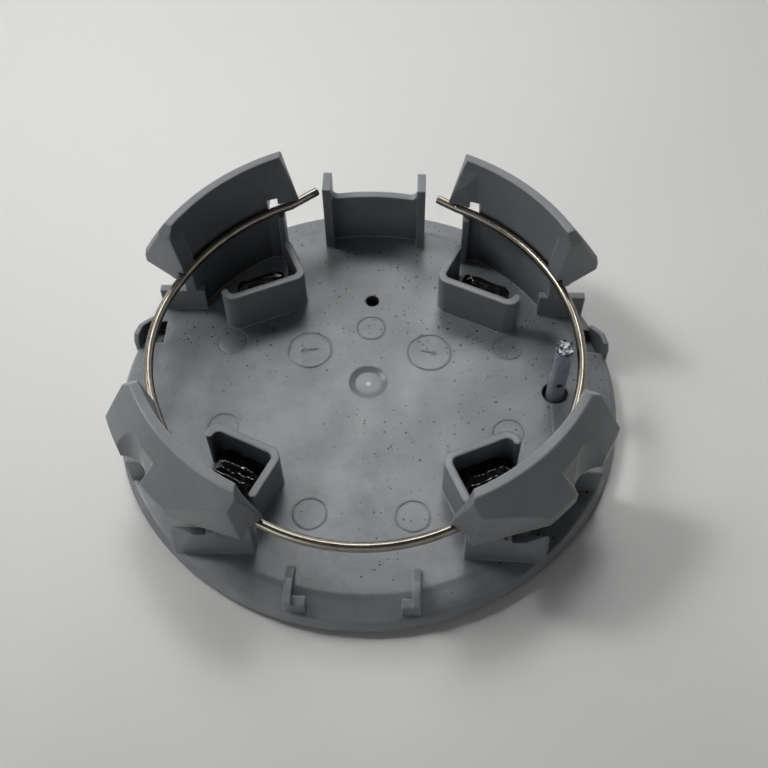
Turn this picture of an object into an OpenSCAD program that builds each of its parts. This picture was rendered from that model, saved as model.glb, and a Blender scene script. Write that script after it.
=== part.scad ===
// Wheel centre cap lying on its front, seen from the side that faces the hub.
// The axis is Z, the front face is at z = 0, twelve o'clock is +Y.

/* [Disc and rim] */
// Outside diameter of the rim
cap_d = 62; // [56:0.5:75]
// Thickness of the front face plate
plate_t = 1.0; // [0.8:0.1:1.6]
// Thickness of the base disc behind the face plate
disc_t = 1.6; // [1.2:0.1:2.4]
// Width of the rim that stands around the face plate
rim_w = 2.2; // [1.6:0.1:3]
// How far the outer zone of the disc falls towards the rim
rim_fall = 0.4; // [0.2:0.1:0.8]

/* [Claws] */
// How far inside the cap's outer edge the inner faces of the claw walls stand
claw_in = 5.1; // [4.7:0.1:6]
// Thickness of the claw walls
claw_t = 1.2; // [0.9:0.1:1.6]
// Height of the claw tops above the front face
claw_top = 19.5; // [17.5:0.1:22]
// Width of the flat land on top of a claw
land_w = 1.05; // [0.8:0.05:1.4]
// How far the hook of a claw stands out beyond its wall
hook_out = 3.5; // [2:0.1:3.7]
// Height of the tip of the hook above the front face
tip_z = 13.6; // [13.2:0.1:15]
// Half width of the gap between the claws at twelve and six o'clock
gap_x = 11.7; // [10.5:0.1:12.5]
// Half width of the gap between the claw walls at three and nine o'clock
gap_y = 12.4; // [11.5:0.1:13.5]

/* [Retaining ring] */
// Diameter of the spring wire
wire_d = 1.12; // [1:0.02:1.3]
// Height of the wire's centre above the front face
wire_z = 11.4; // [11:0.1:12]
// Half width of the part of the ring's opening where the wire stops being round
ring_gap = 10.9; // [10.5:0.1:11.4]
// Length of the longer straight end of the wire
ring_tail = 4.2; // [2:0.1:4.4]

/* [Stake boxes] */
// Outside width of the two stake boxes near twelve o'clock
box_w = 11; // [9.5:0.1:11.2]
// Outside width of the two stake boxes near six o'clock
low_box_w = 9.4; // [9:0.1:11.2]
// Wall of a stake box
box_t = 0.9; // [0.7:0.1:1.2]
// Height of a stake box above the disc
box_h = 6; // [4:0.5:7]
// Length of the long arm of a stake box
box_arm = 6.2; // [4:0.1:6.4]
// Length of a melted stake head
head_l = 6.2; // [4.5:0.1:6.4]
// Width of a melted stake head
head_w = 4.2; // [3:0.1:4.4]

/* [Upstand and pin] */
// Outside width of the upstand at twelve o'clock
upstand_w = 13.5; // [11:0.1:14]
// Height of the upstand's wall above the front face
upstand_z = 10.2; // [8:0.1:11]
// Height of the upstand's posts above the front face
post_z = 13.4; // [11:0.1:14.5]
// How far inside the claw walls' inner faces the locating pin stands
pin_in = 2.6; // [2.5:0.1:3.4]
// Diameter of the locating pin at its foot
pin_d = 2.3; // [1.8:0.1:2.6]
// Height of the locating pin above the front face
pin_z = 12; // [8:0.5:13]

/* [Hidden] */
$fn = 96;
cap_r = cap_d / 2;
claw_r = cap_r - claw_in;
far = 2 * cap_d;
floor_z = plate_t + disc_t;
fit = 0.1;
seat = 0.04;

// rim section
rim_edge = 0.55;
rim_side_z = 1.15;
rim_front = 0.2;
plate_r = cap_r - rim_w;
rim_in = cap_r - rim_edge - 0.15;
zone_r = claw_r + claw_t + 0.2;

// claw head
wall_ro = claw_r + claw_t;
tip_r = wall_ro + hook_out;
land_r = claw_r + land_w;
under_z = wire_z - 1;
lip_z = wire_z + wire_d / 2 + fit;
end_a = 23.8;
low_end_a = 22.4;
top_a = 25.6;
head_a = 72;
hook_low = 1.7;
flat_y = claw_r - 3.15;
foot_x = claw_r - 5;
foot_z = 6.9;
window_w = 1.3;

// ring path
ring_r = claw_r - wire_d / 2 - 0.02;
ring_a = asin(ring_gap / ring_r);
joint = 0.04;
bulge_low = 0.5;
bulge_side = 0.28;
bulge_low_a = 27.5;

// stake boxes, laid out on axes turned from the cap's own
box_turn = -24.5;
box_v = claw_r - 10.5;
head_u = 7.2;
head_v = box_v + box_t + head_w / 2 + 0.3;
head_top = 5;
slot_l = 4;
slot_w = 1.8;

// upstand
post_t = 1.1;
post_deep = 3.3;
post_y = claw_r - 2.2;

// pin, holes and the marks that the mould left on the floor
pin_x = claw_r - pin_in;
pin_room = 0.9;
vent_y = 14.2;
vent_d = 1.8;
mark_deep = 0.07;
mark_w = 0.14;
gate_d = 6.6;
gate_deep = 0.3;
wheel_at = [7.7, 5.85];
wheel_r = 2.85;
low_rib_at = [-7.95, 6.05];
low_rib_t = 0.9;

// copies of one quarter's features in all four quarters, the two at six o'clock being low
module quarters() {
    for (mx = [0, 1], my = [0, 1]) {
        $low = my == 1;
        mirror([mx, 0, 0]) mirror([0, my, 0]) children();
    }
}

// point at radius r, azimuth a and height z
function at(r, a, z) = [r * cos(a), r * sin(a), z];

// everything beyond a plane through p whose normal points to azimuth az, raised by el
module beyond(p, az, el = 0) {
    translate(p) rotate([0, -el, az]) translate([0, -far / 2, -far / 2]) cube([far / 2, far, far]);
}

// upright block between two corners
module block(a, b) {
    translate(a) cube([b[0] - a[0], b[1] - a[1], b[2] - a[2]]);
}

// flat-bottomed ring of rectangular section
module ring_wall(ri, ro, z0, z1) {
    translate([0, 0, z0]) difference() {
        cylinder(r = ro, h = z1 - z0);
        translate([0, 0, -1]) cylinder(r = ri, h = z1 - z0 + 2);
    }
}

// round disc with its falling outer zone and the rim around the face plate
module disc() {
    rotate_extrude($fn = 180) polygon([
        [0, plate_t],
        [plate_r + fit, plate_t],
        [plate_r + fit, rim_front + 0.25],
        [plate_r + fit + 0.25, rim_front],
        [cap_r - 0.9, rim_front],
        [cap_r - 0.25, rim_front + 0.35],
        [cap_r, rim_side_z - 0.1],
        [cap_r, rim_side_z + 0.1],
        [cap_r - rim_edge, floor_z - rim_fall - 0.08],
        [rim_in, floor_z - rim_fall],
        [zone_r, floor_z],
        [0, floor_z]
    ]);
}

// section of a claw, from the disc up its wall and out to the hook
module claw_section() {
    polygon([
        [claw_r, floor_z - 0.3],
        [wall_ro, floor_z - 0.3],
        [wall_ro, under_z + 0.2],
        [tip_r, tip_z - hook_low],
        [tip_r, tip_z + 0.2],
        [land_r + 0.62 * (tip_r - land_r), claw_top - 0.58 * (claw_top - tip_z)],
        [land_r, claw_top],
        [claw_r, claw_top]
    ]);
}

// section of a lug that traps the wire, a ramp over a flat underside
module lug_section(ramp_z, reach) {
    polygon([
        [claw_r + 0.2, lip_z],
        [claw_r - reach, lip_z],
        [claw_r - reach, lip_z + 1],
        [claw_r + 0.2, ramp_z + 0.2 * (ramp_z - lip_z - 1) / reach]
    ]);
}

// wall and hooked head of one claw in the first quarter, the head ending at azimuth a0
module claw_head(a0, chamfer) {
    difference() {
        rotate([0, 0, a0]) rotate_extrude(angle = head_a - a0) claw_section();
        // the wall is shorter than the head at both ends, and flat towards twelve o'clock
        block([0, 0, 0], [far, gap_y, under_z]);
        block([0, 0, 0], [gap_x, far, under_z]);
        block([0, flat_y, 0], [far, far, under_z]);
        // chamfered end towards three o'clock
        beyond(at(claw_r + 0.5, top_a, claw_top), a0 - 90, chamfer);
        beyond(at(claw_r + 2.8, a0 + 0.8, claw_top - 2.7), a0 - 50, 22);
        twelve_end();
        // flat where the slide of the mould met the hook
        beyond(at(claw_r + 2.37, 64, claw_top - 1.9), 75.5, -4);
        hook_notch();
        if (!$low) end_window();
    }
    // lugs on the inner face that trap the wire
    rotate([0, 0, a0]) rotate_extrude(angle = 29 - a0) lug_section(17.4, 0.8);
    difference() {
        rotate([0, 0, 58.5]) rotate_extrude(angle = head_a - 58.5) lug_section(17.9, 0.8);
        twelve_end();
        if (!$low) end_window();
        // flat inner face of the lug
        beyond([gap_x - 1.9, claw_r - 2.79, lip_z], -105.7, 1.3);
    }
}

// window that the slide left over the end of the wall, beside the wire
module end_window() {
    block([gap_x - 0.2, claw_r - 5, wire_z - 0.9],
        [gap_x + 0.9, claw_r - 0.7, lip_z + 0.05]);
    block([gap_x + 0.8, claw_r - 5, wire_z - 1.4],
        [gap_x + 0.8 + window_w, claw_r - 0.7, wire_z + 1.7]);
}

// cuts that shape the end of a head towards twelve o'clock
module twelve_end() {
    beyond([gap_x + 0.05, 0, claw_top], 180, 15.3);
    beyond([gap_x - 1.9, 0, lip_z], 180);
    beyond(at(claw_r + 2.21, 63.7, 14), 127.4);
    block([gap_x - 6, claw_r - 6, under_z - 1], [gap_x, claw_r + 5, lip_z + 0.05]);
}

// notch that parts the hook's nose from the rest of its edge
module hook_notch() {
    deep_z = claw_top - 2.66;
    // leaning flat with a slanting end
    intersection() {
        beyond(at(claw_r + 2.73, 39.9, deep_z), 39.9, 8);
        beyond(at(claw_r + 2.77, 42.9, deep_z), -24.4, 25.7);
        beyond(at(claw_r + 3.8, 35.4, deep_z), 130);
    }
    // round hollow beside the nose
    translate(at(claw_r + 5.9, 35.8, under_z - 1)) cylinder(r1 = 2.55, r2 = 3.55, h = claw_top - under_z + 1, $fn = 64);
    // corner taken off the longer part
    intersection() {
        beyond(at(claw_r + 4.3, 39.8, tip_z), 10);
        beyond(at(claw_r + 4.3, 37.5, tip_z), 90);
    }
}

// flat-faced foot of one claw, from the disc up to the head
module claw_foot() {
    step_x = claw_r - 10.2;
    difference() {
        union() {
            // end rib that carries the wire
            block([gap_x, flat_y - 1.7, floor_z - 0.3],
                [gap_x + 0.8, flat_y - 0.1, wire_z - wire_d / 2 - seat]);
            // flat front of the foot, lower beyond a rounded step
            block([gap_x, flat_y - 1, floor_z - 0.6], [step_x, flat_y, under_z + 0.3]);
            block([step_x - 0.3, flat_y - 1, floor_z - 0.6], [foot_x, flat_y, foot_z]);
            translate([step_x + 0.2, flat_y + 0.12, foot_z + 0.15]) rotate([90, 0, 0])
                cylinder(r = 0.75, h = 1, $fn = 32);
        }
        beyond([foot_x - 0.4, flat_y, floor_z - 0.1], 68.5, 11.4);
    }
    // rib across the end of the wall, out to the rim
    block([claw_r - 4.2, gap_y, floor_z - 0.6], [claw_r + 1.6, gap_y + 1, 6.1]);
}

module claw() {
    claw_head($low ? low_end_a : end_a, $low ? 45 : 27);
    claw_foot();
}

// open box around a stake, on the turned axes
module stake_box() {
    u0 = $low ? 2.65 : 1.95;
    w = $low ? low_box_w : box_w;
    rotate([0, 0, box_turn]) translate([u0, box_v, floor_z - 0.3])
        linear_extrude(box_h + 0.3) difference() {
            box_outline(w, box_arm, 1.5);
            translate([box_t, box_t]) box_outline(w - 2 * box_t, box_arm + 9, 0.75);
            translate([w / 2, 1.7]) square([w, 20]);
        }
    // rounded ends of its walls
    rotate([0, 0, box_turn]) translate([u0, box_v, floor_z - 0.3])
        for (e = [[box_t / 2, box_arm], [w - box_t / 2, 1.7]])
            translate(e) cylinder(d = box_t, h = box_h + 0.3, $fn = 32);
}

// rectangle with its two near corners rounded
module box_outline(w, l, r) {
    union() {
        translate([r, 0]) square([w - 2 * r, l]);
        translate([0, r]) square([w, l - r]);
        for (x = [r, w - r]) translate([x, r]) circle(r, $fn = 32);
    }
}

// upstand at twelve o'clock: a curved wall between two posts
module upstand() {
    half = upstand_w / 2;
    intersection() {
        ring_wall(claw_r, wall_ro - 0.2, floor_z - 0.3, upstand_z);
        block([-half, claw_r - 6, 0], [half, claw_r + 4, claw_top]);
    }
    // fillets between the wall's top and the posts
    for (m = [0, 1]) mirror([m, 0, 0]) intersection() {
        ring_wall(claw_r, wall_ro - 0.2, upstand_z - 0.2, upstand_z + 1);
        difference() {
            block([half - post_t - 1, claw_r - 6, 0], [half - 0.3, claw_r + 4, claw_top]);
            translate([half - post_t - 1, claw_r + 4, upstand_z + 1]) rotate([90, 0, 0])
                cylinder(r = 1, h = 10, $fn = 48);
        }
    }
    for (s = [-1, 1])
        translate([s * (half - post_t / 2), post_y, floor_z - 0.3])
            translate([-post_t / 2, 0, 0]) cube([post_t, post_deep, post_z - floor_z + 0.3]);
}

// hooded pockets at the rim, a little above three and nine o'clock
module rim_hood() {
    difference() {
        ring_wall(cap_r - 0.65, cap_r - 0.03, rim_side_z, 4.4);
        rotate([0, 0, 180 + 11.3]) block([-far, 0, 0], [far, far, far]);
        rotate([0, 0, 21]) block([-far, 0, 0], [far, far, far]);
        beyond([cap_r * cos(15.2), cap_r * sin(15.2), 4.4], 108, 57);
        beyond([cap_r * cos(12.3), cap_r * sin(12.3), 4.4], -78, 30);
    }
}

module pocket_cut() {
    intersection() {
        translate([0, 0, plate_t - 0.5]) cylinder(r = cap_r - 0.65, h = 10);
        block([cap_r - 4.15, 6.6, plate_t - 0.5], [cap_r, 10.3, 10]);
    }
}

// small rib at six o'clock with a foot block against the rim, blade beginning at x0
module low_rib(x0, foot) {
    rim_y = -(cap_r - 1.65);
    difference() {
        union() {
            block([x0, rim_y, floor_z - 0.8], [x0 + low_rib_t, rim_y + 5.35, 4.6]);
            block([foot > 0 ? x0 + 0.5 : x0 - 1.1, rim_y, floor_z - 0.8],
                [foot > 0 ? x0 + 2.4 : x0 + 0.5, rim_y + 1.15, 4]);
        }
        beyond([x0, rim_y + 5.25, floor_z], 90, 50);
    }
}

// slots and holes through the disc
module disc_holes() {
    quarters() rotate([0, 0, box_turn]) translate([head_u, head_v, plate_t - 1])
        linear_extrude(disc_t + 2) stake_outline(slot_l, slot_w, fit);
    translate([pin_x, 0, plate_t - 1]) cylinder(d = pin_d + pin_room, h = disc_t + 2, $fn = 48);
    translate([0, vent_y, plate_t - 1]) cylinder(d = vent_d, h = disc_t + 2, $fn = 32);
}

// long slot shape of a stake, with room added all round
module stake_outline(l, w, room) {
    r = w / 2 + room;
    square([l - w, 2 * r], center = true);
    for (s = [-1, 1]) translate([s * (l - w) / 2, 0]) circle(r, $fn = 32);
}

// narrow round groove on the floor
module ring_mark(p, r) {
    translate([p[0], p[1], 0]) ring_wall(r - mark_w, r, floor_z - mark_deep, floor_z + 1);
}

// marks of the mould's inserts, ejector pins and gate
module floor_marks() {
    for (m = [0, 1]) mirror([m, 0, 0]) {
        ring_mark(wheel_at, wheel_r);
        translate([wheel_at[0], wheel_at[1], floor_z - mark_deep]) rotate([0, 0, -12])
            linear_extrude(1) polygon([
                [-1.1, -0.12],
                [0.5, -0.12],
                [0.5, -0.5],
                [1.2, 0],
                [0.5, 0.5],
                [0.5, 0.12],
                [-1.1, 0.12]
            ]);
        ring_mark([6, -17.65], 2.05);
        ring_mark([17.4, -6], 1.9);
        ring_mark([17.8, 6.9], 1.9);
    }
    ring_mark([0.05, 9.6], 1.9);
    // gate: a shallow round hollow
    translate([0, 1.1, floor_z - gate_deep])
        cylinder(d1 = gate_d / 2, d2 = gate_d, h = 2 * gate_deep, $fn = 64);
}

module cap_base() {
    color("#8c9096") difference() {
        union() {
            disc();
            quarters() claw();
            quarters() stake_box();
            upstand();
            for (m = [0, 1]) mirror([m, 0, 0]) rim_hood();
            low_rib(low_rib_at[0], 1);
            low_rib(low_rib_at[1], -1);
        }
        disc_holes();
        floor_marks();
        for (m = [0, 1]) mirror([m, 0, 0]) pocket_cut();
    }
}

// straight end of the wire, bent outwards by b where the round part stops
module wire_tail(length, b) {
    rotate([0, 0, 90 - ring_a]) translate([ring_r, 0, 0]) {
        sphere(d = wire_d + joint, $fn = 32);
        rotate([-90, 0, 0]) rotate([0, b, 0]) cylinder(d = wire_d, h = length, $fn = 32);
    }
}

// arc of wire that springs out by out over half an angle each side of azimuth az
module wire_bulge(az, half, out) {
    h = ring_r * sin(half);
    s = ring_r * (1 - cos(half)) + out;
    r = (h * h + s * s) / (2 * s);
    a = asin(h / r);
    rotate([0, 0, az]) {
        translate([ring_r + out - r, 0, 0]) rotate([0, 0, -a]) rotate_extrude(angle = 2 * a)
            translate([r, 0]) circle(d = wire_d, $fn = 32);
        for (b = [-half, half]) rotate([0, 0, b]) translate([ring_r, 0, 0])
            sphere(d = wire_d + joint, $fn = 32);
    }
}

// round part of the wire between two azimuths
module wire_arc(a0, a1) {
    rotate([0, 0, a0]) rotate_extrude(angle = a1 - a0)
        translate([ring_r, 0]) circle(d = wire_d, $fn = 32);
}

// open wire ring that presses the claws outwards and springs out between them
module retaining_ring() {
    color("#a39a8c") translate([0, 0, wire_z]) {
        wire_arc(90 + ring_a, 180 - low_end_a);
        wire_bulge(180, low_end_a, bulge_side);
        wire_arc(180 + low_end_a, 270 - bulge_low_a);
        wire_bulge(270, bulge_low_a, bulge_low);
        wire_arc(270 + bulge_low_a, 450 - ring_a);
        wire_tail(ring_tail * 0.7, 7);
        mirror([1, 0, 0]) wire_tail(ring_tail, 14);
    }
}

// melted head of one stake, standing on the disc, domed both ways
module stake_head() {
    r = 1.2;
    intersection() {
        translate([0, 0, floor_z]) linear_extrude(head_top - floor_z) union() {
            square([head_l - 2 * r, head_w], center = true);
            square([head_l, head_w - 2 * r], center = true);
            for (x = [-1, 1], y = [-1, 1])
                translate([x * (head_l / 2 - r), y * (head_w / 2 - r)]) circle(r, $fn = 32);
        }
        translate([0, 0, head_top - 3.6]) rotate([0, 90, 0])
            cylinder(r = 3.6, h = 20, center = true, $fn = 64);
        translate([0, 0, head_top - 5.5]) rotate([90, 0, 0])
            cylinder(r = 5.5, h = 20, center = true, $fn = 64);
    }
}

// front face plate with its stakes and locating pin, one moulding
module face_plate() {
    color("#26282b") {
        cylinder(r = plate_r, h = plate_t, $fn = 180);
        quarters() rotate([0, 0, box_turn]) translate([head_u, head_v, 0]) {
            translate([0, 0, plate_t / 2]) linear_extrude(disc_t + plate_t / 2 + 0.5)
                stake_outline(slot_l, slot_w, 0);
            stake_head();
        }
        translate([pin_x, 0, plate_t / 2])
            cylinder(d1 = pin_d, d2 = pin_d - 0.2, h = pin_z - plate_t / 2, $fn = 48);
    }
}

cap_base();
retaining_ring();
face_plate();
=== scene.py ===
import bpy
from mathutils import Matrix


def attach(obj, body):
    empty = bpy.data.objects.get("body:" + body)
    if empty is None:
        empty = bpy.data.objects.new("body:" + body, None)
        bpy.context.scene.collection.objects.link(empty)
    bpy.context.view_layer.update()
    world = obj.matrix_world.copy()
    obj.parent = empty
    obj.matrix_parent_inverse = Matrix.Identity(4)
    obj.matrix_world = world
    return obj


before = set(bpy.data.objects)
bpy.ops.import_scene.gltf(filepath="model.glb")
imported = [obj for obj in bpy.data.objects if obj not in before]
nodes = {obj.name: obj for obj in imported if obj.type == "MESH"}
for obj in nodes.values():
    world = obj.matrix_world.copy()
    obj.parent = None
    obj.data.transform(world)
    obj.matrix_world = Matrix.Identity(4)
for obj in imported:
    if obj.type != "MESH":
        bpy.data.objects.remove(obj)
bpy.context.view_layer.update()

import math

import bmesh
import bpy
from mathutils import Matrix, Vector

mm = 0.001  # sizes below are in millimetres
print("frame loaded:", ", ".join(sorted(nodes)))


def srgb(hexText):
    # sRGB hex to the linear colour that the shader wants
    def linear(c):
        return c / 12.92 if c <= 0.04045 else ((c + 0.055) / 1.055) ** 2.4
    parts = [int(hexText[i:i + 2], 16) / 255 for i in (1, 3, 5)]
    return tuple(linear(c) for c in parts) + (1.0,)


def newMaterial(name):
    mat = bpy.data.materials.new(name)
    mat.use_nodes = True
    mat.node_tree.nodes.clear()
    return mat


def addNode(mat, kind, settings=None, links=None):
    # one node, with its properties and with its inputs set or linked
    node = mat.node_tree.nodes.new(kind)
    for key, value in (settings or {}).items():
        setattr(node, key, value)
    for key, value in (links or {}).items():
        socket = node.inputs[key]
        if isinstance(value, bpy.types.NodeSocket):
            mat.node_tree.links.new(value, socket)
        else:
            socket.default_value = value
    return node


def setStops(ramp, stops):
    # stops are (position, grey or hex colour)
    elements = ramp.color_ramp.elements
    while len(elements) > 1:
        elements.remove(elements[-1])
    for i, (at, value) in enumerate(stops):
        stop = elements[0] if i == 0 else elements.new(at)
        stop.position = at
        stop.color = srgb(value) if isinstance(value, str) else (value, value, value, 1)
    return ramp.outputs["Color"]


# grey moulding: the base with its claws, boxes and ribs
baseLook = {
    "colour": "#7f8286",
    "shade": "#73777b",     # flow marks of the moulding
    # pale rub and weld line, and painted highlight along the edges
    "paleAndHighlight": "#b3b5b6",
    "dust": "#28221e",
    "grime": "#505255",
    "paintedShade": "#232528",      # painted shade for corners and for the grooves in the floor
    "scarAndGlint": "#e2e4e5",      # whitened plastic where the gate was cut off, with a painted glint in its middle
    "floor": (2.6, 0.35),   # height of the cap's floor, and how far from it dust is drawn
    "groove": (2.535, 0.035),   # the same for the bottom of the marks in the floor
    "gate": (0.0, 1.0, 2.3),
    "clouds": 9, "drift": 13, "smear": 2.6,     # sizes of flow marks, dust drifts and smears
    "lean": (4.0, 5.0, 0.0),    # dust grows along this, for each metre
    "specks": (             # spacing, least tone that makes a speck, widest reach of a speck
        (0.5, 0.74, 0.36),
        (0.85, 0.64, 0.26),
        (2.0, 0.68, 0.14),
    ),
    "ragged": (0.3, 0.35),  # size and depth of the rags at a speck's edge
    "weld": (22.75, -3.8, 0.3, 4.4),    # weld line below the pin's hole: x, y, width, length
    "grooveShade": 0.12, "weldTint": 0.35,
    "reach": 8,             # how far the painted shade spreads from a corner
    "clawCircle": 27.2,     # radius behind which the floor lies below the hooks
    "edge": 0.38,           # rounding that the mould leaves on every edge
    "grain": 0.16,          # the mould's spark-eroded grain: really about 0.05, coarser to show
    "gloss": (0.3, 0.42),
}


def makeSpeckMask(mat, place, amount, look):
    # the specks are ragged, so their cells are looked up at a warped place
    size, depth = look["ragged"]
    ragged = addNode(mat, "ShaderNodeTexNoise", links={
        "Vector": place, "Scale": 1 / (size * mm), "Detail": 2.0})
    warped = addNode(mat, "ShaderNodeVectorMath", {"operation": "MULTIPLY_ADD"}, {
        0: ragged.outputs["Color"], 1: (depth * mm,) * 3, 2: place})
    mask = 0.0
    for spacing, share, reach in look["specks"]:
        cells = addNode(mat, "ShaderNodeTexVoronoi", {"feature": "F1"}, {
            "Vector": warped.outputs[0], "Scale": 1 / (spacing * mm), "Randomness": 1.0})
        tone = addNode(mat, "ShaderNodeSeparateColor", links={"Color": cells.outputs["Color"]})
        chosen = addNode(mat, "ShaderNodeMapRange", links={
            "Value": tone.outputs[0], "From Min": share, "From Max": 1.0,
            "To Min": 0.0, "To Max": reach})
        wide = addNode(mat, "ShaderNodeMath", {"operation": "MULTIPLY"}, {
            0: chosen.outputs["Result"], 1: amount})
        speck = addNode(mat, "ShaderNodeMath", {"operation": "LESS_THAN"}, {
            0: cells.outputs["Distance"], 1: wide.outputs[0]})
        mask = addNode(mat, "ShaderNodeMath", {"operation": "MAXIMUM"}, {
            0: mask, 1: speck.outputs[0]}).outputs[0]
    return mask


def makeBaseMaterial(look):
    # PC/ABS, injection moulded in a finely eroded mould: satin, soft highlights on rounded edges
    mat = newMaterial("mouldedPcAbs")
    place = addNode(mat, "ShaderNodeTexCoord").outputs["Object"]
    axes = addNode(mat, "ShaderNodeSeparateXYZ", links={"Vector": place})
    # cloudy flow marks of the moulding
    clouds = addNode(mat, "ShaderNodeTexNoise", links={
        "Vector": place, "Scale": 1 / (look["clouds"] * mm), "Detail": 5.0, "Roughness": 0.62,
        "Distortion": 0.6})
    base = addNode(mat, "ShaderNodeMix", {"data_type": "RGBA"}, {
        "Factor": setStops(addNode(mat, "ShaderNodeValToRGB", links={"Fac": clouds.outputs["Fac"]}),
                           [(0.38, 0.0), (0.66, 1.0)]),
        6: srgb(look["colour"]), 7: srgb(look["shade"])})
    # dust lies on the cap's floor only, and more of it towards twelve and three o'clock
    onFloor = addNode(mat, "ShaderNodeMath", {"operation": "COMPARE"}, {
        0: axes.outputs["Z"], 1: look["floor"][0] * mm, 2: look["floor"][1] * mm})
    drift = addNode(mat, "ShaderNodeTexNoise", links={
        "Vector": place, "Scale": 1 / (look["drift"] * mm), "Detail": 3.0})
    lean = addNode(mat, "ShaderNodeVectorMath", {"operation": "DOT_PRODUCT"}, {
        0: place, 1: look["lean"]})
    gather = addNode(mat, "ShaderNodeMath", {"operation": "ADD"}, {
        0: drift.outputs["Fac"], 1: lean.outputs["Value"]})
    amount = addNode(mat, "ShaderNodeMapRange", links={
        "Value": gather.outputs[0], "From Min": 0.35, "From Max": 0.6,
        "To Min": 0.4, "To Max": 1.0})
    dustMask = addNode(mat, "ShaderNodeMath", {"operation": "MULTIPLY"}, {
        0: makeSpeckMask(mat, place, amount.outputs["Result"], look), 1: onFloor.outputs[0]})
    # smears of grime between the specks
    smear = addNode(mat, "ShaderNodeTexNoise", links={
        "Vector": place, "Scale": 1 / (look["smear"] * mm), "Detail": 6.0, "Roughness": 0.7})
    smearMask = addNode(mat, "ShaderNodeMath", {"operation": "MULTIPLY"}, {
        0: setStops(addNode(mat, "ShaderNodeValToRGB", links={"Fac": smear.outputs["Fac"]}),
                    [(0.46, 0.0), (0.8, 0.5)]), 1: onFloor.outputs[0]})
    smeared = addNode(mat, "ShaderNodeMix", {"data_type": "RGBA"}, {
        "Factor": smearMask.outputs[0], 6: base.outputs[2], 7: srgb(look["grime"])})
    dusty = addNode(mat, "ShaderNodeMix", {"data_type": "RGBA"}, {
        "Factor": dustMask.outputs[0], 6: smeared.outputs[2], 7: srgb(look["dust"])})
    # painted shade: a darker line in the grooves that the mould's inserts left
    groove = addNode(mat, "ShaderNodeMath", {"operation": "COMPARE"}, {
        0: axes.outputs["Z"], 1: look["groove"][0] * mm, 2: look["groove"][1] * mm})
    grooveShadeMask = addNode(mat, "ShaderNodeMath", {"operation": "MULTIPLY"}, {
        0: groove.outputs[0], 1: look["grooveShade"]})
    grooveShaded = addNode(mat, "ShaderNodeMix", {"data_type": "RGBA"}, {
        "Factor": grooveShadeMask.outputs[0], 6: dusty.outputs[2], 7: srgb(look["paintedShade"])})
    # pale scar of the gate with a painted glint in it; the stops below are its radius in
    # millimetres
    fromGate = addNode(mat, "ShaderNodeVectorMath", {"operation": "DISTANCE"}, {
        0: place, 1: tuple(c * mm for c in look["gate"])})
    gateMm = addNode(mat, "ShaderNodeMath", {"operation": "MULTIPLY"}, {
        0: fromGate.outputs["Value"], 1: 1 / mm})
    scarAndGlintMask = setStops(addNode(mat, "ShaderNodeValToRGB", links={"Fac": gateMm.outputs[0]}),
                        [(0.2, 0.9), (0.42, 0.0)])
    scarredAndGlinting = addNode(mat, "ShaderNodeMix", {"data_type": "RGBA"}, {
        "Factor": scarAndGlintMask, 6: grooveShaded.outputs[2], 7: srgb(look["scarAndGlint"])})
    # pale weld line where the melt met below the pin's hole
    weldX, weldY, weldWide, weldLong = look["weld"]
    acrossWeld = addNode(mat, "ShaderNodeMath", {"operation": "COMPARE"}, {
        0: axes.outputs["X"], 1: weldX * mm, 2: weldWide / 2 * mm})
    alongWeld = addNode(mat, "ShaderNodeMath", {"operation": "COMPARE"}, {
        0: axes.outputs["Y"], 1: weldY * mm, 2: weldLong / 2 * mm})
    onWeld = addNode(mat, "ShaderNodeMath", {"operation": "MULTIPLY"}, {
        0: acrossWeld.outputs[0], 1: alongWeld.outputs[0]})
    weldMask = addNode(mat, "ShaderNodeMath", {"operation": "MULTIPLY"}, {
        0: onWeld.outputs[0], 1: look["weldTint"]})
    welded = addNode(mat, "ShaderNodeMix", {"data_type": "RGBA"}, {
        "Factor": weldMask.outputs[0], 6: scarredAndGlinting.outputs[2], 7: srgb(look["paleAndHighlight"])})
    # painted shade in corners and on the walls behind the claws, less of it on the floor
    facing = addNode(mat, "ShaderNodeNewGeometry")
    upright = addNode(mat, "ShaderNodeSeparateXYZ", links={"Vector": facing.outputs["True Normal"]})
    lying = addNode(mat, "ShaderNodeMath", {"operation": "ABSOLUTE"}, {0: upright.outputs["Z"]})
    shadeByFacing = addNode(mat, "ShaderNodeMapRange", links={
        "Value": lying.outputs[0], "From Min": 0.2, "From Max": 0.9,
        "To Min": 1.0, "To Max": 0.12})
    # outside the claws' circle the floor lies below the hooks and gets the painted shade as well
    level = addNode(mat, "ShaderNodeVectorMath", {"operation": "MULTIPLY"}, {
        0: place, 1: (1.0, 1.0, 0.0)})
    fromAxis = addNode(mat, "ShaderNodeVectorMath", {"operation": "LENGTH"}, {0: level.outputs[0]})
    outside = addNode(mat, "ShaderNodeMath", {"operation": "GREATER_THAN"}, {
        0: fromAxis.outputs["Value"], 1: look["clawCircle"] * mm})
    shadeByPlace = addNode(mat, "ShaderNodeMath", {"operation": "MAXIMUM"}, {
        0: shadeByFacing.outputs["Result"], 1: outside.outputs[0]})
    cornerOcclusion = addNode(mat, "ShaderNodeAmbientOcclusion", {"samples": 8}, {
        "Distance": look["reach"] * mm})
    cornerShadeMask = addNode(mat, "ShaderNodeMath", {"operation": "MULTIPLY"}, {
        0: setStops(addNode(mat, "ShaderNodeValToRGB", links={"Fac": cornerOcclusion.outputs["AO"]}),
                    [(0.15, 0.92), (0.6, 0.0)]), 1: shadeByPlace.outputs[0]})
    cornerShaded = addNode(mat, "ShaderNodeMix", {"data_type": "RGBA"}, {
        "Factor": cornerShadeMask.outputs[0], 6: welded.outputs[2], 7: srgb(look["paintedShade"])})
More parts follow.
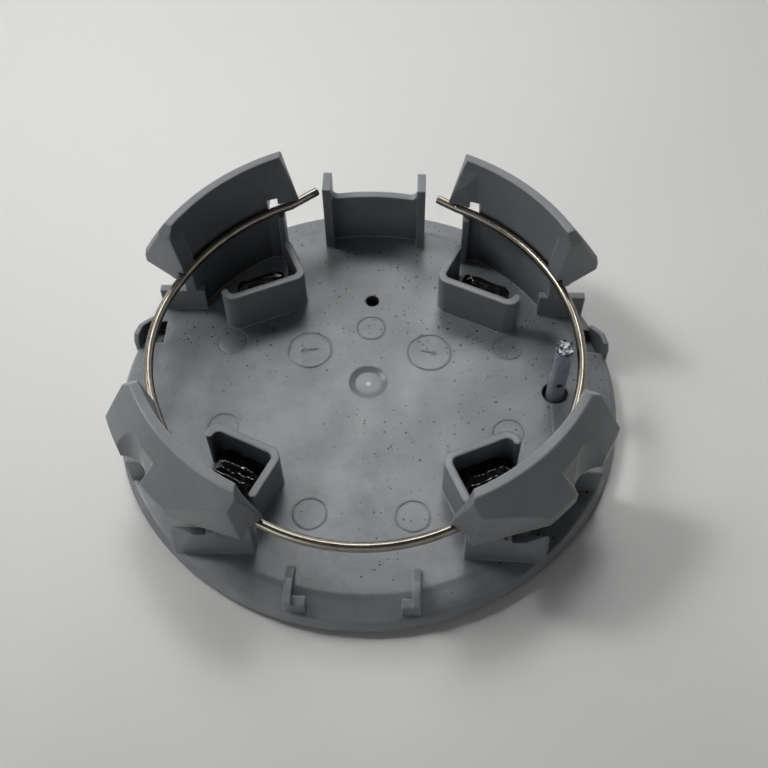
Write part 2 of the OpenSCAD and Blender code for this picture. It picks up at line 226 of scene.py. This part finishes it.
    # rounded edges, and a paler rub with painted highlight along them
    rounded = addNode(mat, "ShaderNodeBevel", {"samples": 8}, {"Radius": look["edge"] * mm})
    match = addNode(mat, "ShaderNodeVectorMath", {"operation": "DOT_PRODUCT"}, {
        0: rounded.outputs["Normal"], 1: facing.outputs["True Normal"]})
    rubAndHighlight = setStops(addNode(mat, "ShaderNodeValToRGB", links={"Fac": match.outputs["Value"]}),
                   [(0.7, 0.62), (0.97, 0.0)])
    wornAndHighlit = addNode(mat, "ShaderNodeMix", {"data_type": "RGBA"}, {
        "Factor": rubAndHighlight, 6: cornerShaded.outputs[2], 7: srgb(look["paleAndHighlight"])})
    # smears stand a little proud, and the mould's grain lies over everything
    grain = addNode(mat, "ShaderNodeTexNoise", links={
        "Vector": place, "Scale": 1 / (look["grain"] * mm), "Detail": 3.0})
    waves = addNode(mat, "ShaderNodeBump", links={
        "Strength": 0.25, "Distance": 0.12 * mm, "Height": smear.outputs["Fac"],
        "Normal": rounded.outputs["Normal"]})
    bump = addNode(mat, "ShaderNodeBump", links={
        "Strength": 0.14, "Distance": 0.02 * mm, "Height": grain.outputs["Fac"],
        "Normal": waves.outputs["Normal"]})
    sheen = addNode(mat, "ShaderNodeMapRange", links={
        "Value": clouds.outputs["Fac"], "From Min": 0.3, "From Max": 0.7,
        "To Min": look["gloss"][0], "To Max": look["gloss"][1]})
    shader = addNode(mat, "ShaderNodeBsdfPrincipled", links={
        "Base Color": wornAndHighlit.outputs[2], "Roughness": sheen.outputs["Result"],
        "IOR": 1.56, "Normal": bump.outputs["Normal"]})
    addNode(mat, "ShaderNodeOutputMaterial", links={"Surface": shader.outputs[0]})
    return mat


# spring wire ring
wireLook = {
    "colour": "#858077",
    # dark of the oil film, and painted shade near the claws
    "darkAndPaintedShade": "#35302a",
    "draw": 0.25,       # marks left by the drawing die: really about 0.05, coarser to show
    "run": 1.2,         # how far they change along the ring, for each radian
    "film": 2.2,        # size of the patches of oil
    "shadeNear": 3,           # how near a claw has to be for the wire to get painted shade
}


def makeWireMaterial(look):
    # hard-drawn spring steel: bright, with fine lines along the wire and a warm film of oil
    mat = newMaterial("drawnSpringSteel")
    place = addNode(mat, "ShaderNodeTexCoord").outputs["Object"]
    axes = addNode(mat, "ShaderNodeSeparateXYZ", links={"Vector": place})
    # the marks follow the ring: they are drawn on its radius and height, and change slowly along it
    around = addNode(mat, "ShaderNodeMath", {"operation": "ARCTAN2"}, {
        0: axes.outputs["Y"], 1: axes.outputs["X"]})
    flat = addNode(mat, "ShaderNodeCombineXYZ", links={
        "X": axes.outputs["X"], "Y": axes.outputs["Y"], "Z": 0.0})
    out = addNode(mat, "ShaderNodeVectorMath", {"operation": "LENGTH"}, {0: flat.outputs[0]})
    slow = addNode(mat, "ShaderNodeMath", {"operation": "MULTIPLY"}, {
        0: around.outputs[0], 1: look["run"] * mm})
    along = addNode(mat, "ShaderNodeCombineXYZ", links={
        "X": out.outputs["Value"], "Y": axes.outputs["Z"], "Z": slow.outputs[0]})
    lines = addNode(mat, "ShaderNodeTexNoise", links={
        "Vector": along.outputs[0], "Scale": 1 / (look["draw"] * mm), "Detail": 3.0,
        "Roughness": 0.7})
    film = addNode(mat, "ShaderNodeTexNoise", links={
        "Vector": place, "Scale": 1 / (look["film"] * mm), "Detail": 4.0})
    tone = addNode(mat, "ShaderNodeMix", {"data_type": "RGBA"}, {
        "Factor": setStops(addNode(mat, "ShaderNodeValToRGB", links={"Fac": film.outputs["Fac"]}),
                           [(0.5, 0.0), (0.8, 0.55)]),
        6: srgb(look["colour"]), 7: srgb(look["darkAndPaintedShade"])})
    # painted shade where it lies near a claw
    clawOcclusion = addNode(mat, "ShaderNodeAmbientOcclusion", {"samples": 16}, {
        "Distance": look["shadeNear"] * mm})
    shadedNearClaw = addNode(mat, "ShaderNodeMix", {"data_type": "RGBA"}, {
        "Factor": setStops(addNode(mat, "ShaderNodeValToRGB", links={"Fac": clawOcclusion.outputs["AO"]}),
                           [(0.35, 0.9), (0.8, 0.0)]),
        6: tone.outputs[2], 7: srgb(look["darkAndPaintedShade"])})
    rough = addNode(mat, "ShaderNodeMapRange", links={
        "Value": lines.outputs["Fac"], "From Min": 0.3, "From Max": 0.7,
        "To Min": 0.2, "To Max": 0.32})
    bump = addNode(mat, "ShaderNodeBump", links={
        "Strength": 0.08, "Distance": 0.01 * mm, "Height": lines.outputs["Fac"]})
    shader = addNode(mat, "ShaderNodeBsdfPrincipled", links={
        "Base Color": shadedNearClaw.outputs[2], "Metallic": 1.0, "Roughness": rough.outputs["Result"],
        "Normal": bump.outputs["Normal"]})
    addNode(mat, "ShaderNodeOutputMaterial", links={"Surface": shader.outputs[0]})
    return mat


# dark face plate with its stakes and its pin
plateLook = {
    "colour": "#0e1012",
    "pin": "#8e949f",
    "pinFrom": 21, "pinAbove": 1.2,     # the pin is what lies beyond this x and above this z
    "scuff": 0.7, "stretch": 0.12,      # size of the scuffs across the pin, scale along it
    "dimpleShade": (23.35, -1.05, 5.7),      # middle of the painted shade of the dimple on the pin
    "gloss": (0.2, 0.36),
}


def makePlateMaterial(look):
    # gloss ABS, dark through: sharp highlights, greyer on the pin where handling rubbed it
    mat = newMaterial("glossDarkAbs")
    place = addNode(mat, "ShaderNodeTexCoord").outputs["Object"]
    axes = addNode(mat, "ShaderNodeSeparateXYZ", links={"Vector": place})
    onPin = addNode(mat, "ShaderNodeMath", {"operation": "GREATER_THAN"}, {
        0: axes.outputs["X"], 1: look["pinFrom"] * mm})
    above = addNode(mat, "ShaderNodeMath", {"operation": "GREATER_THAN"}, {
        0: axes.outputs["Z"], 1: look["pinAbove"] * mm})
    pinMask = addNode(mat, "ShaderNodeMath", {"operation": "MULTIPLY"}, {
        0: onPin.outputs[0], 1: above.outputs[0]})
    # scuffs that run up the pin, and the painted shade of a dimple near its foot, with its radius
    # in millimetres
    streaks = addNode(mat, "ShaderNodeMapping", {"vector_type": "POINT"}, {
        "Vector": place, "Scale": (1.0, 1.0, look["stretch"])})
    scuff = addNode(mat, "ShaderNodeTexNoise", links={
        "Vector": streaks.outputs[0], "Scale": 1 / (look["scuff"] * mm), "Detail": 3.0,
        "Roughness": 0.6})
    fromDimpleShade = addNode(mat, "ShaderNodeVectorMath", {"operation": "DISTANCE"}, {
        0: place, 1: tuple(c * mm for c in look["dimpleShade"])})
    dimpleShadeMm = addNode(mat, "ShaderNodeMath", {"operation": "MULTIPLY"}, {
        0: fromDimpleShade.outputs["Value"], 1: 1 / mm})
    outsideDimpleShade = setStops(addNode(mat, "ShaderNodeValToRGB", links={"Fac": dimpleShadeMm.outputs[0]}),
                         [(0.3, 0.0), (0.46, 1.0)])
    pinTone = addNode(mat, "ShaderNodeMath", {"operation": "MULTIPLY"}, {
        0: pinMask.outputs[0], 1: outsideDimpleShade})
    body = addNode(mat, "ShaderNodeMix", {"data_type": "RGBA"}, {
        "Factor": pinTone.outputs[0], 6: srgb(look["colour"]), 7: srgb(look["pin"])})
    bump = addNode(mat, "ShaderNodeBump", links={
        "Strength": 0.12, "Distance": 0.05 * mm, "Height": scuff.outputs["Fac"]})
    rough = addNode(mat, "ShaderNodeMapRange", links={
        "Value": scuff.outputs["Fac"], "From Min": 0.35, "From Max": 0.7,
        "To Min": look["gloss"][0], "To Max": look["gloss"][1]})
    shader = addNode(mat, "ShaderNodeBsdfPrincipled", links={
        "Base Color": body.outputs[2], "Roughness": rough.outputs["Result"], "IOR": 1.54,
        "Normal": bump.outputs["Normal"]})
    addNode(mat, "ShaderNodeOutputMaterial", links={"Surface": shader.outputs[0]})
    return mat


def dress(name, mat):
    piece = nodes[name]
    for slot in piece.material_slots:
        slot.material = mat
    if not piece.material_slots:
        piece.data.materials.append(mat)


dress("cap_base", makeBaseMaterial(baseLook))
dress("retaining_ring", makeWireMaterial(wireLook))
dress("face_plate", makePlateMaterial(plateLook))
print("materials made for the three nodes")


def selectByPlace(piece, test):
    # in edit mode: only the faces whose middle passes the test stay selected
    mesh = bmesh.from_edit_mesh(piece.data)
    for face in mesh.faces:
        face.select = test(face.calc_center_median())
    mesh.select_flush_mode()
    bmesh.update_edit_mesh(piece.data)


# melted heads of the four stakes, over the plain ones of the face plate
meltLook = {
    "length": 6.5, "width": 4.5,
    "foot": 2.45, "top": 5.2,       # heights where a head begins and ends
    "place": (7.2, 18.55),          # middle of a head on the box's own axes
    "turn": -24.5,
    "cuts": 9,
    "ridges": (                     # across, half width and height of what the tool left
        (-0.95, 0.5, 0.3),
        (1.05, 0.4, 0.55),
    ),
    "ridgeLong": 0.42,              # half length of a ridge, as a share of the head's length
    "ends": 0.45,                   # where the ends begin, as the same share
    "sag": 0.4,                     # drop of a head's ends
    "flow": (1.5, 0.55),            # size and height of the runs
    "colour": "#040506",
    "wrinkle": 1.3,                 # width of the soft folds in the melted skin
}


def makeMeltMaterial(look):
    # ABS melted by a hot tool: black and wet-looking, with soft runs that glint
    mat = newMaterial("remeltedAbs")
    place = addNode(mat, "ShaderNodeTexCoord").outputs["Object"]
    wrinkles = addNode(mat, "ShaderNodeTexNoise", links={
        "Vector": place, "Scale": 1 / (look["wrinkle"] * mm), "Detail": 2.0, "Distortion": 1.2})
    bump = addNode(mat, "ShaderNodeBump", links={
        "Strength": 0.12, "Distance": 0.15 * mm, "Height": wrinkles.outputs["Fac"]})
    rough = addNode(mat, "ShaderNodeMapRange", links={
        "Value": wrinkles.outputs["Fac"], "From Min": 0.3, "From Max": 0.7,
        "To Min": 0.07, "To Max": 0.16})
    shader = addNode(mat, "ShaderNodeBsdfPrincipled", links={
        "Base Color": srgb(look["colour"]), "Roughness": rough.outputs["Result"], "IOR": 1.54,
        "Normal": bump.outputs["Normal"]})
    addNode(mat, "ShaderNodeOutputMaterial", links={"Surface": shader.outputs[0]})
    return mat


def makeMeltedHead(look):
    # the lump of one stake, in the top right box and before its runs are added
    bpy.ops.object.select_all(action="DESELECT")
    bpy.ops.mesh.primitive_cube_add(size=1)
    head = bpy.context.object
    tall = look["top"] - look["foot"]
    long = look["length"] * mm
    bpy.ops.object.mode_set(mode="EDIT")
    bpy.ops.mesh.select_all(action="SELECT")
    bpy.ops.transform.resize(value=(long, look["width"] * mm, tall * mm))
    bpy.ops.mesh.subdivide(number_cuts=look["cuts"])
    # the hot tool pressed the lump into two ridges that run along it
    for ridge, half, up in look["ridges"]:
        selectByPlace(head, lambda c: c.z > tall * mm * 0.49 and abs(c.y - ridge * mm) < half * mm
                      and abs(c.x) < long * look["ridgeLong"])
        bpy.ops.transform.translate(value=(0, 0, up * mm))
    selectByPlace(head, lambda c: abs(c.x) > long * look["ends"] and c.z > 0)
    bpy.ops.transform.translate(value=(0, 0, -look["sag"] * mm))
    bpy.ops.object.mode_set(mode="OBJECT")
    smooth = head.modifiers.new("smooth", "SUBSURF")
    smooth.levels = smooth.render_levels = 2
    bpy.ops.object.modifier_apply(modifier=smooth.name)
    across, along = look["place"]
    turn = Matrix.Rotation(math.radians(look["turn"]), 4, "Z")
    middle = Vector((across * mm, along * mm, (look["foot"] + tall / 2) * mm))
    head.data.transform(turn @ Matrix.Translation(middle))
    head.data.materials.append(makeMeltMaterial(look))
    return head


def finishHead(head, name, mirrorX, mirrorY, look):
    # mirrored into its box, then its own runs: each stake melted differently
    head.name = name
    head.data.transform(Matrix.Diagonal((mirrorX, mirrorY, 1, 1)))
    if mirrorX * mirrorY < 0:
        head.data.flip_normals()
    bpy.ops.object.select_all(action="DESELECT")
    head.select_set(True)
    bpy.context.view_layer.objects.active = head
    flow = head.modifiers.new("flow", "DISPLACE")
    flow.texture, flow.texture_coords = runs, "GLOBAL"
    flow.strength, flow.mid_level = look["flow"][1] * mm, 0.5
    bpy.ops.object.modifier_apply(modifier=flow.name)
    bpy.ops.object.shade_smooth()
    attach(head, "root")


runs = bpy.data.textures.new("meltRuns", "CLOUDS")
runs.noise_scale, runs.noise_depth = meltLook["flow"][0] * mm, 1
heads = [makeMeltedHead(meltLook)]
while len(heads) < 4:
    copied = heads[0].copy()
    copied.data = heads[0].data.copy()
    bpy.context.scene.collection.objects.link(copied)
    heads.append(copied)
for head, (name, mirrorX, mirrorY) in zip(heads, (
        ("melted_head_top_right", 1, 1), ("melted_head_top_left", -1, 1),
        ("melted_head_bottom_left", -1, -1), ("melted_head_bottom_right", 1, -1))):
    finishHead(head, name, mirrorX, mirrorY, meltLook)
print("melted heads made")

# broken end of the pin, where its sprue was snapped off
tipLook = {
    "place": (23.3, 0), "radius": 1.08, "foot": 11.75, "top": 12.15,
    "colour": "#6f767d",
    # facets painted dark and pale: painted shade and painted glints
    "darkAndPaintedShade": "#15181b", "paintedGlint": "#dfe4e8",
    "crystal": 0.42,            # width of the facets
    "stump": (0.6, 0.05, 0.3),  # radius of the higher middle, its shift and its height
    "crumbs": (0.5, 0.45),      # size and height of the torn face's crumbs
}


def makeTipMaterial(look):
    # ABS snapped off: rough crystals of clear gloss that catch the light, with painted glints and
    # painted shade on their facets
    mat = newMaterial("snappedAbs")
    place = addNode(mat, "ShaderNodeTexCoord").outputs["Object"]
    facets = addNode(mat, "ShaderNodeTexVoronoi", {"feature": "F1"}, {
        "Vector": place, "Scale": 1 / (look["crystal"] * mm)})
    tone = addNode(mat, "ShaderNodeSeparateColor", links={"Color": facets.outputs["Color"]})
    # each facet a random tone between painted shade and painted glint
    colour = setStops(addNode(mat, "ShaderNodeValToRGB", links={"Fac": tone.outputs[0]}),
                      [(0.25, look["darkAndPaintedShade"]), (0.55, look["colour"]), (0.85, look["paintedGlint"])])
    bump = addNode(mat, "ShaderNodeBump", links={
        "Strength": 0.9, "Distance": 0.25 * mm, "Height": facets.outputs["Distance"]})
    shader = addNode(mat, "ShaderNodeBsdfPrincipled", links={
        "Base Color": colour, "Roughness": 0.12, "IOR": 1.56, "Normal": bump.outputs["Normal"]})
    addNode(mat, "ShaderNodeOutputMaterial", links={"Surface": shader.outputs[0]})
    return mat


def makePinTip(look):
    bpy.ops.object.select_all(action="DESELECT")
    tall = (look["top"] - look["foot"]) * mm
    bpy.ops.mesh.primitive_cylinder_add(vertices=32, radius=look["radius"] * mm, depth=tall,
                                        end_fill_type="TRIFAN")
    tip = bpy.context.object
    tip.name = "pin_tip"
    bpy.ops.object.mode_set(mode="EDIT")
    bpy.ops.mesh.select_all(action="SELECT")
    bpy.ops.mesh.subdivide(number_cuts=4)
    # the middle of its upper face stands higher, as a torn stump
    radius, shift, up = look["stump"]
    selectByPlace(tip, lambda c: c.z > 0.15 * mm and math.hypot(c.x, c.y) < radius * mm)
    bpy.ops.transform.translate(value=(shift * mm, 0, up * mm))
    bpy.ops.object.mode_set(mode="OBJECT")
    x, y = look["place"]
    tip.data.transform(Matrix.Translation((x * mm, y * mm, (look["foot"] + look["top"]) / 2 * mm)))
    torn = tip.modifiers.new("torn", "DISPLACE")
    torn.texture, torn.texture_coords, torn.direction = crumbs, "GLOBAL", "Z"
    torn.strength, torn.mid_level = look["crumbs"][1] * mm, 0.5
    bpy.ops.object.modifier_apply(modifier=torn.name)
    tip.data.materials.append(makeTipMaterial(look))
    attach(tip, "root")


crumbs = bpy.data.textures.new("crumbs", "CLOUDS")
crumbs.noise_scale, crumbs.noise_depth = tipLook["crumbs"][0] * mm, 2
makePinTip(tipLook)
print("pin's broken end made")

# table top
floorLook = {
    "colour": "#efeeeb",
    "grain": 1.6,       # unevenness of the paint
    "size": 3000,
    "below": 0.02,      # gap below the cap, so that the two faces don't coincide
}

bpy.ops.object.select_all(action="DESELECT")
bpy.ops.mesh.primitive_plane_add(size=floorLook["size"] * mm,
                                 location=(0, 0, -floorLook["below"] * mm))
floor = bpy.context.object
floor.name = "floor"


def makeFloorMaterial(look):
    # matt painted table top
    mat = newMaterial("mattTable")
    place = addNode(mat, "ShaderNodeTexCoord").outputs["Object"]
    grain = addNode(mat, "ShaderNodeTexNoise", links={
        "Vector": place, "Scale": 1 / (look["grain"] * mm), "Detail": 3.0})
    bump = addNode(mat, "ShaderNodeBump", links={
        "Strength": 0.1, "Distance": 0.05 * mm, "Height": grain.outputs["Fac"]})
    shader = addNode(mat, "ShaderNodeBsdfPrincipled", links={
        "Base Color": srgb(look["colour"]), "Roughness": 0.55, "Normal": bump.outputs["Normal"]})
    addNode(mat, "ShaderNodeOutputMaterial", links={"Surface": shader.outputs[0]})
    return mat


floor.data.materials.append(makeFloorMaterial(floorLook))
print("floor made")

# camera at the photograph's viewing angle: millimetres and degrees
cameraSet = {
    "target": (1.9, 2.603, 0),
    "distance": 128.756,
    "elevation": 55.396,
    "turn": 2.721,
    "roll": 0.998,
    "lens": 46.875, "sensor": 36,
    "clip": (1, 10000),
}

tilt, turn, roll = (math.radians(cameraSet[k]) for k in ("elevation", "turn", "roll"))
back = Vector((math.sin(turn) * math.cos(tilt), -math.cos(turn) * math.cos(tilt), math.sin(tilt)))
right = (-back).cross(Vector((0, 0, 1))).normalized()
down = (-back).cross(right)
right, down = (math.cos(roll) * right + math.sin(roll) * down,
               -math.sin(roll) * right + math.cos(roll) * down)
camData = bpy.data.cameras.new("camera")
camData.lens, camData.sensor_width = cameraSet["lens"], cameraSet["sensor"]
camData.clip_start, camData.clip_end = (c * mm for c in cameraSet["clip"])
camera = bpy.data.objects.new("camera", camData)
bpy.context.scene.collection.objects.link(camera)
eye = (Vector(cameraSet["target"]) + back * cameraSet["distance"]) * mm
turned = Matrix((right, -down, back)).transposed().to_4x4()
camera.matrix_world = Matrix.Translation(eye) @ turned
bpy.context.scene.camera = camera

lightSet = {
    # azimuth seen from above (0 is +X, 90 is +Y), elevation, distance, width, power in watts,
    # the point of the table that the lamp is aimed at, and the angle of its beam
    "key": (158, 45, 600, 220, 0.064, (-42, 42), 26),
    "side": (230, 20, 600, 300, 0.4, (0, 0), 180),
    "back": (118, 20, 600, 300, 0.55, (0, 0), 180),
    "rim": (80, 22, 600, 300, 0.35, (0, 0), 180),
    "top": (90, 55, 600, 300, 0.056, (8, 48), 27),
}

for name, (azimuth, elevation, far, width, power, aim, spread) in lightSet.items():
    a, e = math.radians(azimuth), math.radians(elevation)
    lamp = bpy.data.lights.new(name, "AREA")
    lamp.shape, lamp.size, lamp.energy = "DISK", width * mm, power
    lamp.spread = math.radians(spread)
    lampObject = bpy.data.objects.new(name, lamp)
    spot = Vector((math.cos(a) * math.cos(e), math.sin(a) * math.cos(e), math.sin(e))) * far * mm
    lampObject.location = spot
    lampObject.rotation_euler = (spot - Vector((*aim, 0)) * mm).to_track_quat("Z", "Y").to_euler()
    bpy.context.scene.collection.objects.link(lampObject)

worldSet = {
    "ambient": "#f2f5fa", "strength": 0.06,
    "horizon": "#dddcd9", "overhead": "#4a4b4e",
    "fade": (0.25, 0.85),   # heights between which the backdrop darkens, 1 being overhead
}

world = bpy.data.worlds.new("studio")
bpy.context.scene.world = world
world.use_nodes = True
world.node_tree.nodes.clear()
path = addNode(world, "ShaderNodeLightPath")
seen = addNode(world, "ShaderNodeMath", {"operation": "MAXIMUM"}, {
    0: path.outputs["Is Camera Ray"], 1: path.outputs["Is Transmission Ray"]})
shown = addNode(world, "ShaderNodeMath", {"operation": "MAXIMUM"}, {
    0: seen.outputs[0], 1: path.outputs["Is Glossy Ray"]})
ambient = addNode(world, "ShaderNodeBackground", links={
    "Color": srgb(worldSet["ambient"]), "Strength": worldSet["strength"]})
# the backdrop is pale at the horizon and darker overhead
towards = addNode(world, "ShaderNodeTexCoord").outputs["Generated"]
upwards = addNode(world, "ShaderNodeSeparateXYZ", links={"Vector": towards})
rise = addNode(world, "ShaderNodeMapRange", links={
    "Value": upwards.outputs["Z"],
    "From Min": worldSet["fade"][0], "From Max": worldSet["fade"][1]})
fade = setStops(addNode(world, "ShaderNodeValToRGB", links={"Fac": rise.outputs["Result"]}),
                [(0.0, worldSet["horizon"]), (1.0, worldSet["overhead"])])
backdrop = addNode(world, "ShaderNodeBackground", links={"Color": fade, "Strength": 1.0})
mixed = addNode(world, "ShaderNodeMixShader", links={
    0: shown.outputs[0], 1: ambient.outputs[0], 2: backdrop.outputs[0]})
addNode(world, "ShaderNodeOutputWorld", links={"Surface": mixed.outputs[0]})
bpy.context.scene.view_settings.view_transform = "Standard"
print("camera and light set")
